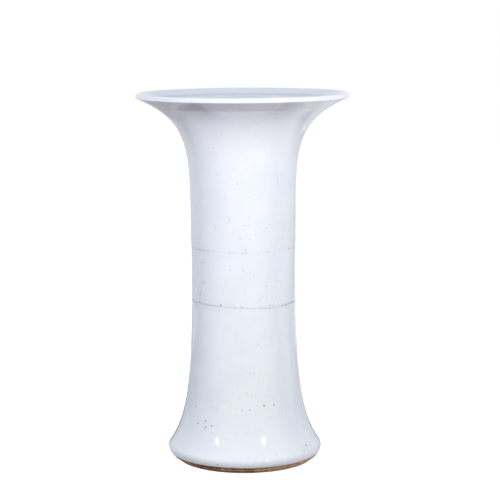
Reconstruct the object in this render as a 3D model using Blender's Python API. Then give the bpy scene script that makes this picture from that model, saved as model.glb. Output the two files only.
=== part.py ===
"""White porcelain bouquet vase with a trumpet mouth, a straight waist and a bell foot.

The body is thrown in three sections, which meet in half-lap joints bedded in slip. A floor disc
is luted up into the foot from below, a ring of bare brown clay laps both the disc and the wall
and carries the vase, and a soft coil rounds the corner inside. Lengths are in metres. The vase
stands on z = 0 with its axis on Z, and every profile is a list of (radius, height) points.
"""

import math

import bpy

# Trumpet: the upper section, from the upper seam to the top of the lip
RIM_DIAMETER = 0.330
TRUMPET_HEIGHT = 0.2379
LIP_THICKNESS = 0.0070
LIP_RADIUS = 0.0028
MOUTH_LEAN = math.radians(67.5)
MOUTH_PULL = 0.415
NECK_DRAFT = math.radians(1.5)
NECK_PULL = 0.598

# Waist: the middle section, seam to seam
WAIST_DIAMETER = 0.1615
WAIST_HEIGHT = 0.0854

# Bell: the lower section, from its underside to the lower seam
BELL_HEIGHT = 0.2415
BELL_DRAFT = math.radians(2.0)
BELL_PULL = 0.468
SHOULDER_DIAMETER = 0.2407
SHOULDER_RADIUS = 0.010
SHOULDER_LEAN = math.radians(35.1)
SHOULDER_PULL = 0.232

# Wall of the body and the half-lap seams in it
WALL = 0.0085
LAP_HEIGHT = 0.008
SEAM_BEVEL = 0.0025
SEAM_CROWN = 0.0006
SLIP_THICKNESS = 0.0006
CLEARANCE = 0.0003

# Floor disc, in a rebate under the bell
TOE_WIDTH = 0.0065
LEDGE_WIDTH = 0.0065
FLOOR_THICKNESS = 0.010
FLOOR_BEVEL = 0.0015
FLOOR_HOLLOW = 0.0012
FLOOR_HOLLOW_MARGIN = 0.004
COIL_SIZE = 0.010
COIL_EDGE = 0.0012

# Foot ring of bare clay, under the disc and the wall
FOOT_RING_HEIGHT = 0.0071
FOOT_RING_WIDTH = 0.015
FOOT_RING_SETBACK = 0.001
FOOT_RING_LEAN = 0.0037
FOOT_RING_BEVEL = 0.0008
FOOT_SLIP_SETBACK = 0.002

# Facets
TURN_STEPS = 48
NECK_STEPS = 12
BELL_STEPS = 9
LIP_STEPS = 4
SHOULDER_STEPS = 4
CROWN_STEPS = 4
COIL_STEPS = 4
HOLLOW_STEPS = 3
MERGE_DISTANCE = 0.00001

# Worked out from the sizes above
JOINT = SLIP_THICKNESS + 2 * CLEARANCE
WAIST_RADIUS = WAIST_DIAMETER / 2
WELL_RADIUS = WAIST_RADIUS - WALL
LAP_RADIUS = WELL_RADIUS + (WALL - JOINT) / 2
BEVEL = min(SEAM_BEVEL, 0.75 * (WALL - JOINT) / 2)
SEAM_REACH = JOINT / 2 + BEVEL

BASE = FOOT_RING_HEIGHT + JOINT
LOWER_SEAM = BASE + BELL_HEIGHT
UPPER_SEAM = LOWER_SEAM + WAIST_HEIGHT
TOP = UPPER_SEAM + TRUMPET_HEIGHT

TOE_RADIUS = SHOULDER_DIAMETER / 2 - SHOULDER_RADIUS
REBATE_RADIUS = TOE_RADIUS - TOE_WIDTH
BORE_RADIUS = REBATE_RADIUS - LEDGE_WIDTH
FLOOR_TOP = BASE + FLOOR_THICKNESS
LEDGE = FLOOR_TOP + JOINT
RING_TOP_RADIUS = TOE_RADIUS - FOOT_RING_SETBACK
RING_INNER_RADIUS = RING_TOP_RADIUS - FOOT_RING_WIDTH


def along(point, heading, distance):
    """The point reached by going a distance along a unit heading."""
    return (point[0] + heading[0] * distance, point[1] + heading[1] * distance)


def arc(centre, radius, start, end, steps):
    """Points on an arc, both ends included."""
    angles = [start + (end - start) * step / steps for step in range(steps + 1)]
    return [(centre[0] + radius * math.cos(a), centre[1] + radius * math.sin(a)) for a in angles]


def flare(start, start_pull, end_pull, end, steps, start_wall, end_wall):
    """Outer and inner faces of a wall whose outer face is one cubic curve drawn upwards."""
    outer = []
    inner = []
    for step in range(steps + 1):
        t = step / steps
        u = 1 - t
        place = [0, 0]
        heading = [0, 0]
        for axis in range(2):
            a, b, c, d = start[axis], start_pull[axis], end_pull[axis], end[axis]
            place[axis] = u**3 * a + 3 * u * u * t * b + 3 * u * t * t * c + t**3 * d
            heading[axis] = u * u * (b - a) + 2 * u * t * (c - b) + t * t * (d - c)
        length = math.hypot(*heading)
        inwards = (-heading[1] / length, heading[0] / length)
        outer.append(tuple(place))
        inner.append(along(place, inwards, start_wall + (end_wall - start_wall) * t))
    return outer, inner


def lap_below(seam):
    """The top edge of the section under a seam, from its outside in: bevel, shoulder and tongue."""
    return [
        (WAIST_RADIUS, seam - SEAM_REACH),
        (WAIST_RADIUS - BEVEL, seam - JOINT / 2),
        (LAP_RADIUS, seam - JOINT / 2),
        (LAP_RADIUS, seam + LAP_HEIGHT),
        (WELL_RADIUS, seam + LAP_HEIGHT),
    ]


def lap_above(seam):
    """The bottom edge of the section over a seam, from its outside in: bevel, skirt and rebate."""
    return [
        (WAIST_RADIUS, seam + SEAM_REACH),
        (WAIST_RADIUS - BEVEL, seam + JOINT / 2),
        (LAP_RADIUS + JOINT, seam + JOINT / 2),
        (LAP_RADIUS + JOINT, seam + LAP_HEIGHT + JOINT),
        (WELL_RADIUS, seam + LAP_HEIGHT + JOINT),
    ]


def trumpet_profile():
    """Neck and flare up to a lip that ends square to the wall with rounded corners."""
    out = (math.sin(MOUTH_LEAN), math.cos(MOUTH_LEAN))
    inwards = (-math.cos(MOUTH_LEAN), math.sin(MOUTH_LEAN))
    radius = min(LIP_RADIUS, LIP_THICKNESS / 2)
    edge = LIP_THICKNESS - 2 * radius
    low_centre = (RIM_DIAMETER / 2 - radius, TOP - radius - edge * inwards[1])
    high_centre = along(low_centre, inwards, edge)
    mouth = along(low_centre, inwards, -radius)

    start = (WAIST_RADIUS, UPPER_SEAM + SEAM_REACH)
    draft = (math.sin(NECK_DRAFT), math.cos(NECK_DRAFT))
    start_pull = along(start, draft, NECK_PULL * TRUMPET_HEIGHT)
    mouth_pull = along(mouth, out, -MOUTH_PULL * TRUMPET_HEIGHT)
    outer, inner = flare(start, start_pull, mouth_pull, mouth, NECK_STEPS, WALL, LIP_THICKNESS)

    facing = math.pi / 2 - MOUTH_LEAN
    lip = arc(low_centre, radius, -MOUTH_LEAN, facing, LIP_STEPS)
    lip += arc(high_centre, radius, facing, math.pi - MOUTH_LEAN, LIP_STEPS)
    rebate_top = UPPER_SEAM + LAP_HEIGHT + JOINT
    well = [point for point in inner if point[1] > rebate_top + WALL]
    upwards = outer[:-1] + lip + well[-2::-1]
    return upwards[::-1] + lap_above(UPPER_SEAM)[1:]


def waist_profile():
    """A plain straight ring with a rebate under it and a tongue on top."""
    return lap_above(LOWER_SEAM) + lap_below(UPPER_SEAM)[::-1]


def bell_profile():
    """Flared foot with a rounded shoulder, and a rebate under it for the floor disc."""
    centre = (TOE_RADIUS, BASE + SHOULDER_RADIUS)
    start = arc(centre, SHOULDER_RADIUS, SHOULDER_LEAN, 0, SHOULDER_STEPS)[0]
    upwards = (-math.sin(SHOULDER_LEAN), math.cos(SHOULDER_LEAN))
    start_pull = along(start, upwards, SHOULDER_PULL * BELL_HEIGHT)
    end = (WAIST_RADIUS, LOWER_SEAM - SEAM_REACH)
    draft = (math.sin(BELL_DRAFT), -math.cos(BELL_DRAFT))
    end_pull = along(end, draft, BELL_PULL * BELL_HEIGHT)
    outer, inner = flare(start, start_pull, end_pull, end, BELL_STEPS, WALL, WALL)

    shoulder = arc(centre, SHOULDER_RADIUS, SHOULDER_LEAN, 0, SHOULDER_STEPS)[:-1]
    shoulder += arc(centre, SHOULDER_RADIUS, 0, -math.pi / 2, SHOULDER_STEPS)
    underside = [(REBATE_RADIUS, BASE), (REBATE_RADIUS, LEDGE), (BORE_RADIUS, LEDGE)]
    well = bore_and_flare(inner)
    tongue = lap_below(LOWER_SEAM)[:0:-1]
    return outer[:0:-1] + shoulder + underside + well + tongue


def bore_and_flare(inner):
    """The bell's inside above the ledge: a straight bore up to where the flare is narrower."""
    well = []
    for low, high in zip(inner, inner[1:]):
        if low[0] > BORE_RADIUS > high[0]:
            share = (low[0] - BORE_RADIUS) / (low[0] - high[0])
            well.append((BORE_RADIUS, low[1] + (high[1] - low[1]) * share))
        if high[0] < BORE_RADIUS and high[1] > LEDGE + COIL_SIZE:
            well.append(high)
    return well


def joint_slip_profile(seam):
    """Slip that fills a seam: a crowned bead in the bevels, a bed, a sleeve and a cap."""
    half = SLIP_THICKNESS / 2
    bed_radius = WAIST_RADIUS - BEVEL + CLEARANCE * (math.sqrt(2) - 1)
    bead = SEAM_REACH - CLEARANCE * math.sqrt(2)
    crown_radius = (bead * bead + SEAM_CROWN * SEAM_CROWN) / (2 * SEAM_CROWN)
    crown_centre = (WAIST_RADIUS + SEAM_CROWN - crown_radius, seam)
    spread = math.asin(bead / crown_radius)
    sleeve = LAP_RADIUS + CLEARANCE
    cap = seam + LAP_HEIGHT + CLEARANCE
    return arc(crown_centre, crown_radius, spread, -spread, CROWN_STEPS) + [
        (bed_radius, seam - half),
        (sleeve, seam - half),
        (sleeve, cap),
        (WELL_RADIUS, cap),
        (WELL_RADIUS, cap + SLIP_THICKNESS),
        (sleeve + SLIP_THICKNESS, cap + SLIP_THICKNESS),
        (sleeve + SLIP_THICKNESS, seam + half),
        (bed_radius, seam + half),
    ]


def floor_profile():
    """Floor disc, from the axis out and back: bevelled rim and a shallow hollow underneath."""
    radius = REBATE_RADIUS - CLEARANCE
    hollow = RING_INNER_RADIUS - FLOOR_HOLLOW_MARGIN
    points = [
        (0, FLOOR_TOP),
        (radius - FLOOR_BEVEL, FLOOR_TOP),
        (radius, FLOOR_TOP - FLOOR_BEVEL),
        (radius, BASE),
    ]
    for step in range(HOLLOW_STEPS + 1):
        share = 1 - step / HOLLOW_STEPS
        points.append((hollow * share, BASE + FLOOR_HOLLOW * (1 - share * share)))
    return points


def bed_profile(outer, inner, bottom):
    """A flat bed of slip between two level faces."""
    top = bottom + SLIP_THICKNESS
    return [(outer, top), (outer, bottom), (inner, bottom), (inner, top)]


def coil_profile():
    """Soft clay fillet in the corner of the floor and the bore, with a hollow face."""
    outer = BORE_RADIUS - CLEARANCE
    bottom = FLOOR_TOP + CLEARANCE
    centre = (outer - COIL_SIZE, bottom + COIL_SIZE)
    face = arc(centre, COIL_SIZE - COIL_EDGE, -math.pi / 2, 0, COIL_STEPS)
    return [(outer, bottom + COIL_SIZE), (outer, bottom), (outer - COIL_SIZE, bottom)] + face


def foot_ring_profile():
    """Turned foot ring whose outer face leans in to the table, with its edges broken."""
    foot_radius = RING_TOP_RADIUS - FOOT_RING_LEAN
    return [
        (RING_TOP_RADIUS - FOOT_RING_BEVEL, FOOT_RING_HEIGHT),
        (RING_TOP_RADIUS, FOOT_RING_HEIGHT - FOOT_RING_BEVEL),
        (foot_radius, FOOT_RING_BEVEL),
        (foot_radius - FOOT_RING_BEVEL, 0),
        (RING_INNER_RADIUS + FOOT_RING_BEVEL, 0),
        (RING_INNER_RADIUS, FOOT_RING_BEVEL),
        (RING_INNER_RADIUS, FOOT_RING_HEIGHT),
    ]


def finish(name, colour, roughness):
    """One fired clay or glaze, as a material."""
    material = bpy.data.materials.new(name)
    material.use_nodes = True
    shader = material.node_tree.nodes["Principled BSDF"]
    shader.inputs["Base Color"].default_value = (*colour, 1)
    shader.inputs["Roughness"].default_value = roughness
    shader.inputs["Metallic"].default_value = 0
    return material


def turn(name, profile, material, parent):
    """Turn a profile about Z into one named piece."""
    count = len(profile)
    on_axis = profile[0][0] == 0
    edges = [(i, (i + 1) % count) for i in range(count - 1 if on_axis else count)]
    mesh = bpy.data.meshes.new(name)
    mesh.from_pydata([(radius, 0, height) for radius, height in profile], edges, [])
    mesh.materials.append(material)
    piece = bpy.data.objects.new(name, mesh)
    piece.parent = parent
    bpy.context.scene.collection.objects.link(piece)
    screw = piece.modifiers.new("turn", "SCREW")
    screw.axis = "Z"
    screw.angle = 2 * math.pi
    screw.steps = TURN_STEPS
    screw.render_steps = TURN_STEPS
    screw.use_smooth_shade = True
    screw.use_merge_vertices = True
    screw.merge_threshold = MERGE_DISTANCE
    return piece


def clear_scene():
    """Remove what the scene holds."""
    for item in list(bpy.data.objects):
        bpy.data.objects.remove(item, do_unlink=True)


def build():
    """Make every piece of the vase."""
    clear_scene()
    glaze = finish("white_glazed_porcelain", (0.80, 0.83, 0.89), 0.12)
    slip = finish("glazed_joint_slip", (0.74, 0.77, 0.82), 0.2)
    biscuit = finish("bare_brown_clay", (0.25, 0.15, 0.10), 0.8)
    vase = bpy.data.objects.new("bouquet_vase", None)
    bpy.context.scene.collection.objects.link(vase)

    floor_slip = bed_profile(REBATE_RADIUS - CLEARANCE, BORE_RADIUS, FLOOR_TOP + CLEARANCE)
    foot_slip = bed_profile(
        RING_TOP_RADIUS - FOOT_SLIP_SETBACK,
        RING_INNER_RADIUS + FOOT_SLIP_SETBACK,
        FOOT_RING_HEIGHT + CLEARANCE,
    )
    turn("trumpet_section", trumpet_profile(), glaze, vase)
    turn("waist_section", waist_profile(), glaze, vase)
    turn("foot_section", bell_profile(), glaze, vase)
    turn("floor_disc", floor_profile(), glaze, vase)
    turn("foot_ring", foot_ring_profile(), biscuit, vase)
    turn("floor_corner_coil", coil_profile(), glaze, vase)
    turn("upper_joint_slip", joint_slip_profile(UPPER_SEAM), slip, vase)
    turn("lower_joint_slip", joint_slip_profile(LOWER_SEAM), slip, vase)
    turn("floor_joint_slip", floor_slip, slip, vase)
    turn("foot_ring_slip", foot_slip, slip, vase)


build()
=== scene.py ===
"""Looks of a white porcelain bouquet vase: turned glazed sections, luted seams and a bare foot.

Lengths are in metres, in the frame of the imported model: the vase stands on z = 0 with its axis on
Z, and it is seen from -Y. A profile is a list of (radius, height) points that runs down the outer
side of a piece. A bearing is an angle round the axis in degrees, 0 at the front, growing to the
right.
"""

import math
import random

import bpy
from bpy.props import FloatProperty, FloatVectorProperty, IntProperty, PointerProperty
from mathutils import Matrix, Vector, noise


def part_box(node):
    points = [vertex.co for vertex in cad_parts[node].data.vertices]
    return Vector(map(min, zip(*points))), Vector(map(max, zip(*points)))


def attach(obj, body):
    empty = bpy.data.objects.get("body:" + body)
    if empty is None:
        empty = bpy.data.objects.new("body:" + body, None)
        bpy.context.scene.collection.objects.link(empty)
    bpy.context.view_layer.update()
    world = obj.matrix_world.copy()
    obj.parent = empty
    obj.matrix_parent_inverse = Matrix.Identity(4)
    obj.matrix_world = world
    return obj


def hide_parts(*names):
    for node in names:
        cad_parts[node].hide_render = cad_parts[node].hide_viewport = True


bl_info = {
    "name": "Bouquet Vase",
    "version": (1, 0, 0),
    "blender": (4, 5, 0),
    "location": "3D View > Sidebar > Vase",
    "description": "Dresses the packed bouquet vase in glaze, bare clay and studio light",
    "category": "Object",
}

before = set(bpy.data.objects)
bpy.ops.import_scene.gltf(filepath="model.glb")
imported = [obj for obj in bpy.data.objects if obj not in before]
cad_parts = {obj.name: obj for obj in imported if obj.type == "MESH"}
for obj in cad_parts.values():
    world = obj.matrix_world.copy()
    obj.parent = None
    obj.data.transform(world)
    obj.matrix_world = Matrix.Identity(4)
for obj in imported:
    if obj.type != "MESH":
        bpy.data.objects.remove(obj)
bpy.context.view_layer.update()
MM = 0.001

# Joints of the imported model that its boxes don't tell
SLIP_BED = 1.2 * MM
CLEARANCE = 0.3 * MM

# Outer sizes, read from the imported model
RIM_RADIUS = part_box("trumpet_section")[1].x
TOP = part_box("trumpet_section")[1].z
WAIST_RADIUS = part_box("waist_section")[1].x
UPPER_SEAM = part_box("trumpet_section")[0].z - SLIP_BED / 2
LOWER_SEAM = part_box("waist_section")[0].z - SLIP_BED / 2
SHOULDER_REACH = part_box("foot_section")[1].x
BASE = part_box("foot_section")[0].z
FLOOR_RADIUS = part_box("floor_disc")[1].x
FLOOR_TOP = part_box("floor_disc")[1].z
COIL_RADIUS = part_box("floor_corner_coil")[1].x
COIL_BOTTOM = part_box("floor_corner_coil")[0].z
COIL_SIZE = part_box("floor_corner_coil")[1].z - COIL_BOTTOM
FOOT_RING_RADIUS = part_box("foot_ring")[1].x
FOOT_RING_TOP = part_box("foot_ring")[1].z

# How finely the pieces are drawn
TURN_SEGMENTS = 216
SEAM_SEGMENTS = 720
FLARE_STEPS = 104
WAIST_STEPS = 40
LIP_STEPS = 10
SHOULDER_STEPS = 14
ARC_STEPS = 8
SEAM_STEPS = 40

# Edges that bend more than this stay hard
SHARP_ANGLE = math.radians(38)

# Radius of the circle that a profile is swept round
WHEEL_RADIUS = 50 * MM

# The two luted seams. drift is the line that a seam takes round the wall, as (bearing, mm over the
# joint). open has the stretches left open, as (from bearing, to bearing, share of the depth). pits and
# rust are marks in the slip, as (bearing, mm over the joint, radius in mm). crown is how far the slip
# stands proud, and kept_open says how little of an open stretch the slip bridges again.
UPPER_MARKS = {
    "drift": (
        (-180, 0.2), (-120, 0.4), (-70, 0.8), (-35, 0.4), (0, 0.0), (60, 0.4), (120, -0.4), (180, 0.2),
    ),
    "open": (
        (-88, -40, 0.80), (-40, -21, 0.20), (-17, -13, 0.45), (-11, -8, 0.45), (-1, 5, 0.5),
        (25, 31, 0.25), (62, 84, 0.40), (96, 150, 0.6), (-170, -118, 0.5),
    ),
    "pits": (
        (59.8, 1.4, 1.1), (-72, 0.8, 0.9), (-57, 0.9, 0.8), (-15, 0.1, 0.5), (-11.5, 0.1, 0.5),
        (-1.0, -0.7, 0.5), (1.2, -0.2, 0.5), (3.4, 0.1, 0.55), (17.2, -0.7, 0.55), (128, 0.8, 1.0),
    ),
    "rust": ((118, 0.6, 2.0), (-140, 0.4, 1.6)),
    "crown": 0.10 * MM,
    "kept_open": 0.62,
}
LOWER_MARKS = {
    "drift": (
        (-180, 0.5), (-120, 2.0), (-75, 3.8), (-55, 3.8), (-42, 2.9), (-25, 2.9), (-18, 2.0), (-8, 1.2),
        (8, 0.0), (28, -1.0), (50, 0.0), (110, 0.8), (180, 0.5),
    ),
    "open": (
        (-190, 190, 0.32), (-92, -46, 1.0), (-46, -24, 0.7), (-12, 3, 0.45), (16, 34, 0.5),
        (44, 90, 0.9), (104, 176, 0.7), (-165, -110, 0.6),
    ),
    "pits": (
        (-75, 4.5, 1.2), (-70, 5.2, 1.0), (-66, 3.2, 1.2), (-57.5, 5.4, 1.6), (-53, 4.0, 1.2),
        (-49, 3.2, 1.0), (-44, 3.6, 0.9), (-38, 3.5, 0.8), (-25.2, 4.8, 1.3), (-10, 2.4, 0.7),
        (-2, 2.2, 0.7), (53.8, 0.5, 1.7), (58, 0.9, 1.1), (66, 1.8, 1.1), (71, 2.6, 1.0), (150, 1.0, 1.1),
    ),
    "rust": (
        (25, 3.4, 1.1), (28, 4.4, 1.0), (31, 4.6, 1.0), (34, 3.4, 1.1), (29, 2.2, 0.9), (-150, 1.2, 2.2),
    ),
    "crown": 0.20 * MM,
    "kept_open": 1.0,
}

# Iron specks that show at the front of the bell, as (bearing, height in mm, diameter in mm)
FRONT_SPECKS = (
    (-54.1, 92.9, 2.3), (-38.4, 74.3, 2.6), (-47.3, 68.3, 2.5), (-37.2, 65.1, 2.9),
    (-30.9, 68.7, 2.7), (19.6, 100.2, 2.9), (29.9, 99.7, 2.3), (5.3, 94.6, 1.5),
    (-1.8, 93.8, 1.4), (2.9, 121.1, 1.1), (11.2, 117.0, 1.1), (25.2, 122.8, 1.1),
    (-12.6, 102.7, 1.0), (71.4, 66.7, 1.8), (56.4, 31.5, 2.9), (51.4, 25.9, 2.4),
    (-20.3, 15.9, 1.8), (25.0, 27.5, 1.0),
)

# Specks scattered at the back of the bell: how many, between which bearings, and the least, the most
# and the likeliest height and diameter in mm
BACK_SPECKS = 46
BACK_BEARINGS = (84, 276)
BACK_HEIGHTS = (14, 150, 60)
BACK_DIAMETERS = (0.9, 2.9, 1.3)

# Least and most that a speck is drawn out, and the seed for all that is left to chance in the specks
FRONT_STRETCH = (0.85, 1.2)
BACK_STRETCH = (0.8, 1.3)
SPECK_SEED = 11

# Pinholes in the glaze of the waist and the neck, fainter ones, and a bead of glaze by the upper seam whose
# whiter colour is a painted glint, as (bearing, height in mm, diameter in mm, how drawn out)
WAIST_PINHOLES = (
    (-50.9, 283.8, 1.8, 3.2), (-49.4, 287.0, 2.2, 1.0), (-47.9, 285.4, 1.7, 1.4), (-55.1, 270.6, 2.6, 2.2),
    (-55.3, 265.8, 2.2, 1.6), (-51.6, 316.6, 2.2, 1.1), (-46.8, 317.0, 2.2, 0.9), (17.5, 262.0, 1.7, 1.0),
)
WAIST_FAINT = (
    (-13.9, 309.5, 3.3, 1.0), (0.2, 308.2, 3.3, 1.0), (6.6, 304.3, 2.2, 1.2), (11.5, 301.7, 2.2, 1.0),
    (-1.5, 295.5, 3.3, 0.5), (7.1, 295.0, 3.3, 0.5), (28.8, 294.8, 4.4, 0.5), (40.8, 290.1, 2.2, 1.2),
    (25.7, 283.6, 2.2, 2.0), (25.1, 276.0, 2.2, 1.5), (19.2, 267.3, 2.2, 1.0), (25.7, 265.1, 2.2, 1.5),
    (38.6, 263.6, 2.2, 1.5),
)
NECK_FAINT = (
    (-28.3, 495, 2.4, 1.4), (-30.0, 472, 2.0, 2.8), (-41.2, 461, 2.0, 1.5), (-27.1, 454, 2.0, 2.4),
    (-28.4, 427, 1.9, 1.0), (-47.7, 418, 4.0, 0.5), (3.8, 479, 1.8, 1.0), (-0.1, 475, 1.7, 1.4),
    (-7.8, 464, 1.8, 1.0), (0.0, 453, 2.2, 1.0), (-5.3, 441, 2.2, 2.3), (7.3, 446, 2.6, 0.5),
    (7.3, 438, 2.6, 0.9), (7.3, 428, 2.6, 0.5), (7.3, 420, 2.6, 0.7), (43.6, 454, 2.0, 1.3),
    (39.4, 444, 2.4, 2.0), (-18.7, 419, 1.9, 2.4), (-14.6, 385, 2.3, 1.2), (-55.5, 371, 2.0, 1.0),
    (-31.2, 374, 3.4, 1.6), (2.2, 378, 5.5, 0.4), (6.2, 388, 1.8, 1.9), (15.4, 378, 1.8, 1.5),
    (33.0, 375, 1.8, 1.9), (-2.8, 357.2, 2.8, 1.2), (7.4, 356.6, 3.3, 0.8), (40.1, 349.6, 2.2, 2.0),
    (3.0, 341.2, 1.9, 1.0), (59.8, 339.4, 1.4, 1.0),
)
NECK_PINHOLES = ((2.8, 340.6, 2.5, 1.0),)
GLINT_BEADS = ((16.6, 340.0, 4.4, 1.0),)

# Radius of the ring of painted shade inside the mouth
RING_SHADE_RADIUS = 139 * MM

# Height of the middle of the band of painted shade under the lip
LIP_SHADE_HEIGHT = 559.5 * MM

# Tan stains under the lip, as (bearing, height in mm, radius in mm)
LIP_STAINS = (
    (-0.8, 557.5, 5.5), (17.6, 558.0, 2.6), (20.2, 552.5, 2.2), (22.3, 547.4, 2.0), (28.2, 559.8, 3.5),
)

# A screen behind the set that shows only in the gloss, as (bearing, sRGB colour), and how far it goes
# on to white at its top edge, as a share. At the floor it goes a third as far
SCREEN_TINTS = (
    (80, "FFFFFF"), (110, "B8BBBC"), (140, "A1A4A5"), (165, "9A9A9E"), (180, "8A888E"),
    (195, "9A9CA0"), (220, "D0D4D6"), (250, "B0B4B5"), (280, "FFFFFF"),
)
SCREEN_LIFT = 0.9

# Cards on the floor that show only in the gloss, as (name, left, right, near, far, sRGB colour, width
# of the edge that fades out), and the colour that their edges fade to
FLOOR_CARDS = (
    ("shaded_floor", -0.36, 0.30, 0.05, 0.68, "484848", 0.18),
    ("dim_floor_left", -1.60, -0.38, 0.40, 0.80, "B4B4B6", 0.06),
    ("dim_floor_right", 0.38, 1.70, 0.40, 0.80, "C0C0C4", 0.06),
    ("far_floor_right", 0.80, 1.70, 0.80, 2.00, "CCCCD0", 0.06),
    ("bright_floor_left", -0.58, -0.28, 0.82, 2.10, "C4C4C6", 0.06),
    ("bright_floor_right", 0.28, 0.58, 0.82, 2.10, "FFFFFF", 0.06),
)
CARD_EDGE = "D2D2D5"

# The lamps, as (name, bearing, height, distance, width, height of the lamp)
LAMPS = (("left_lamp", -50, 1.00, 2.20, 0.10, 0.17), ("right_lamp", 33.5, 0.64, 1.50, 0.09, 0.14))

# What stands for the lamps in the gloss, as (name, bearing, height, distance, width, height of the
# panel, length of the dim strip under it, how far the strip leans to the right)
SOFT_BOXES = (
    ("left_soft_box", -49.3, 1.215, 2.20, 0.16, 0.28, 0.36, 0.10),
    ("right_soft_box", 33.2, 0.855, 1.50, 0.155, 0.19, 0.28, -0.05),
)
BOX_SHINE = 35

# Fill from all sides of the room, as (direction it comes from, strength)
ROOM_FILL = (
    ((-1, 0, 0), 0.55), ((1, 0, 0), 1.03), ((0, 1, 0), 0.66), ((0, -1, 0), 0.18), ((0, 0, 1), 0.66),
)

# The floor as it lights the vase and as it shows in the gloss, as sRGB colours at the left, in the
# middle and at the right of a strip of this width. The light from it has one strength at the front of
# the set and another at the vase and behind it
FLOOR_STRIP = 1.0
FLOOR_BOUNCE = ("807B86", "A29CAA", "CAC2D2")
FRONT_BOUNCE = 2.6
BACK_BOUNCE = 0.20
FLOOR_GLOSS = ("A3A1A5", "A7A5A9", "D4D1D7")

# The camera that took the photograph, fitted to the rim and foot ellipses
CAMERA_PLACE = (0.01033, -2.4952, 0.6951)
CAMERA_TILT = math.radians(81.64)
CAMERA_ROLL = math.radians(-0.364)
CAMERA_LENS = 116.34
CAMERA_SENSOR = 36


def linear(code):
    """Linear red, green and blue of an sRGB hex colour."""
    shares = [int(code[start:start + 2], 16) / 255 for start in (0, 2, 4)]
    return tuple(s / 12.92 if s <= 0.04045 else ((s + 0.055) / 1.055) ** 2.4 for s in shares)


def length(name, description, default):
    """A property for a length."""
    return FloatProperty(name=name, description=description, default=default, unit="LENGTH", precision=5)


def angle(name, description, degrees):
    """A property for an angle."""
    default = math.radians(degrees)
    return FloatProperty(name=name, description=description, default=default, unit="ROTATION")


def share(name, description, default):
    """A property for a share or a strength."""
    return FloatProperty(name=name, description=description, default=default, min=0)


def colour(name, description, code):
    """A property for a colour, given as sRGB hex."""
    return FloatVectorProperty(
        name=name, description=description, default=linear(code), subtype="COLOR", size=3, min=0, max=1
    )


class VaseSizes(bpy.types.PropertyGroup):
    """Sizes of the turned pieces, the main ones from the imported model."""

    rim_radius: length("Rim radius", "Axis to the outside of the lip", RIM_RADIUS)
    top: length("Top", "Height of the lip", TOP + 0.3 * MM)
    mouth_lean: angle("Mouth lean", "Lean of the flare at the lip, from upright", 67.5)
    mouth_pull: length("Mouth pull", "Length of the curve's handle at the lip", 98.7 * MM)
    lip_thickness: length("Lip thickness", "Wall at the lip", 7.9 * MM)
    lip_face: angle("Lip face", "How far the face of the lip looks up", 4.0)
    lip_radius: length("Lip rounding", "Radius of the upper edge of the lip", 2.5 * MM)
    lip_edge: length("Lip edge", "Radius of the lower edge of the lip", 1.5 * MM)
    neck_draft: angle("Neck draft", "Lean of the neck over the upper seam", 1.5)
    neck_pull: length("Neck pull", "Length of the curve's handle at the neck", 142.3 * MM)
    waist_radius: length("Waist radius", "Axis to the outside of the waist", WAIST_RADIUS)
    upper_seam: length("Upper seam", "Height of the upper seam", UPPER_SEAM)
    lower_seam: length("Lower seam", "Height of the lower seam", LOWER_SEAM)
    bell_draft: angle("Bell draft", "Lean of the bell under the lower seam", 2.0)
    bell_pull: length("Bell pull", "Length of the curve's handle under the seam", 113.0 * MM)
    shoulder_reach: length("Shoulder reach", "Axis to the outside of the shoulder", SHOULDER_REACH)
    shoulder_radius: length("Shoulder rounding", "Radius of the shoulder", 10.0 * MM)
    shoulder_lean: angle("Shoulder lean", "Lean of the bell where it meets the shoulder", 35.1)
    shoulder_pull: length("Shoulder pull", "Length of the curve's handle at the shoulder", 56.0 * MM)
    shoulder_tuck: length("Shoulder tuck", "How far the shoulder draws in down to its base", 6.3 * MM)
    foot_radius: length("Foot radius", "Axis to the outside of the foot ring's upper edge", 114.4 * MM)
    foot_lean: length("Foot lean", "How far the foot ring draws in down to the table", 7.3 * MM)
    wall: length("Wall", "Thickness of the thrown wall", 8.5 * MM)
    lap_height: length("Lap height", "Height of the tongue in a seam", 8.0 * MM)
    seam_bevel: length("Seam bevel", "Notch that the slip of a seam fills", 2.5 * MM)
    swell_reach: length("Swell reach", "Height over a seam where the wall swells most", 8.0 * MM)
    upper_swell: length("Upper swell", "Swelling of the wall over the upper seam", 0.35 * MM)
    lower_swell: length("Lower swell", "Swelling of the wall over the lower seam", 0.55 * MM)
    ring_height: length("Throwing rings", "Height of the faint rings left by throwing", 0.07 * MM)
    ring_spacing: length("Ring spacing", "Distance from one throwing ring to the next", 13.0 * MM)
    out_of_round: length("Out of round", "How far firing pulled the wall off a true circle", 0.5 * MM)
    foot_shift: length("Foot shift", "How far the foot was trimmed off the axis, to the right", 1.6 * MM)
    foot_shift_top: length("Foot shift top", "Height over which the foot is true to the axis", 24.0 * MM)
    toe_height: length("Bare toe", "Height over the base up to which the glaze was wiped off", 3.0 * MM)


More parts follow.
